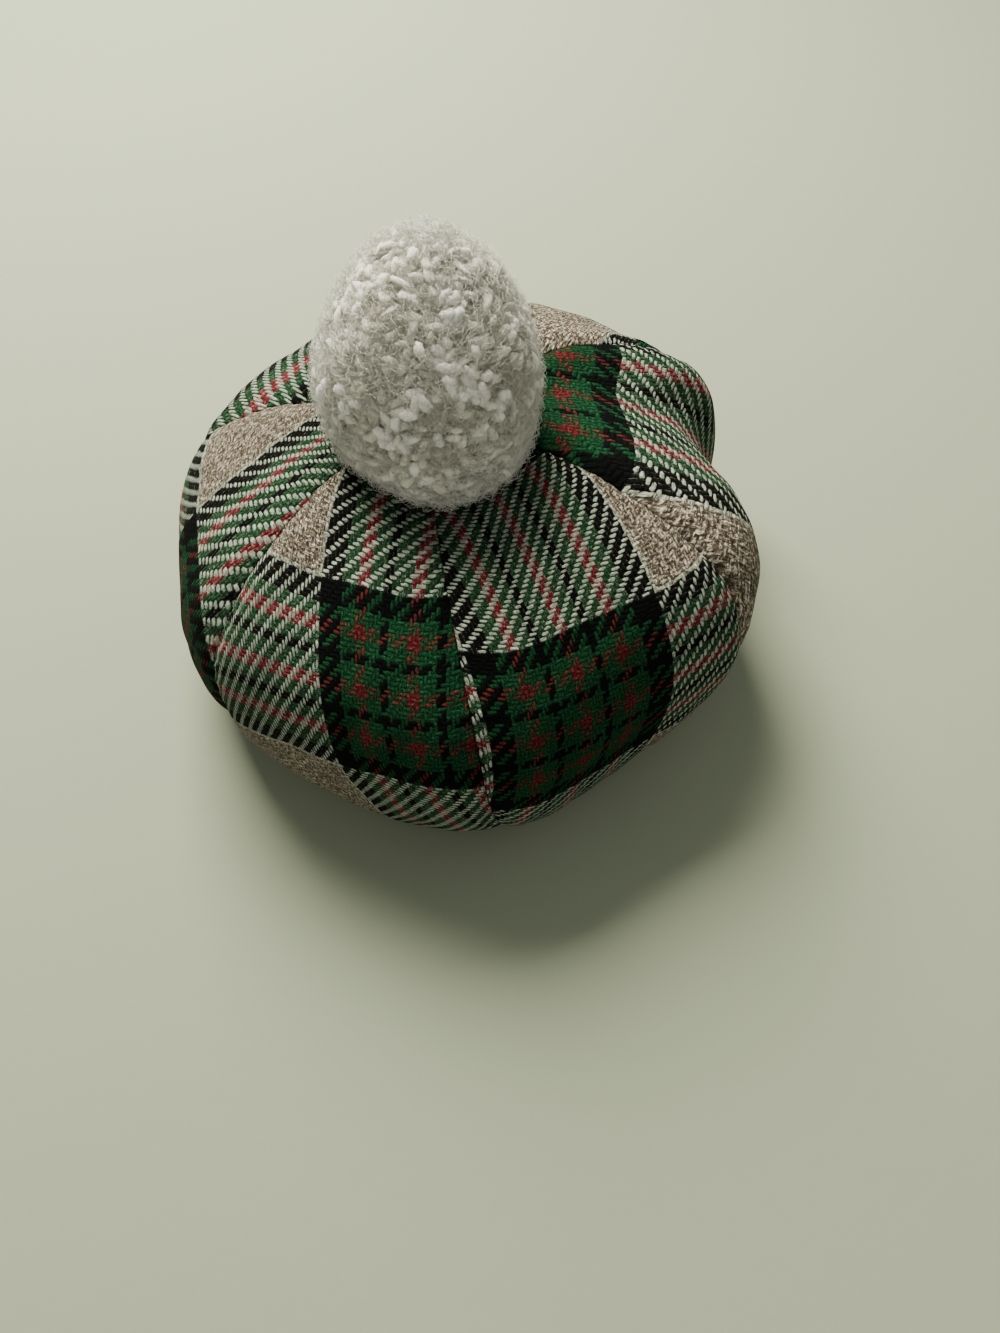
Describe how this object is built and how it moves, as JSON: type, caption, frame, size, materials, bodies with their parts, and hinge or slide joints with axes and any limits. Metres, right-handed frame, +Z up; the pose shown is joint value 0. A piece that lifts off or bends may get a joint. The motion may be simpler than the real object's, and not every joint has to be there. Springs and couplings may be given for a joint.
{
  "type": "gored tartan tam with a pompom (bobble hat)",
  "caption": "Slouchy tam sewn from tartan wool gores that curl under to a round head opening, with a large cream yarn pompom on top.",
  "frame": {"origin": "middle of the bounding box at its base, on the surface that the hat rests on", "axes": "+Z up out of the crown, +Y towards the wearer's front, -Y towards the back of the head, which the picture shows"},
  "size_m": [0.2842, 0.3034, 0.2055],
  "materials": {
    "tartan": "matt coarse wool twill in green, black, red and oatmeal",
    "band_cloth": "matt plain dark green wool cloth",
    "yarn": "soft curly cream wool yarn"
  },
  "bodies": {
    "root": {"gore_1": "tartan", "gore_2": "tartan", "gore_3": "tartan", "gore_4": "tartan", "gore_5": "tartan", "gore_6": "tartan", "head_band": "band_cloth", "pompom": "yarn"}
  },
  "joints": []
}
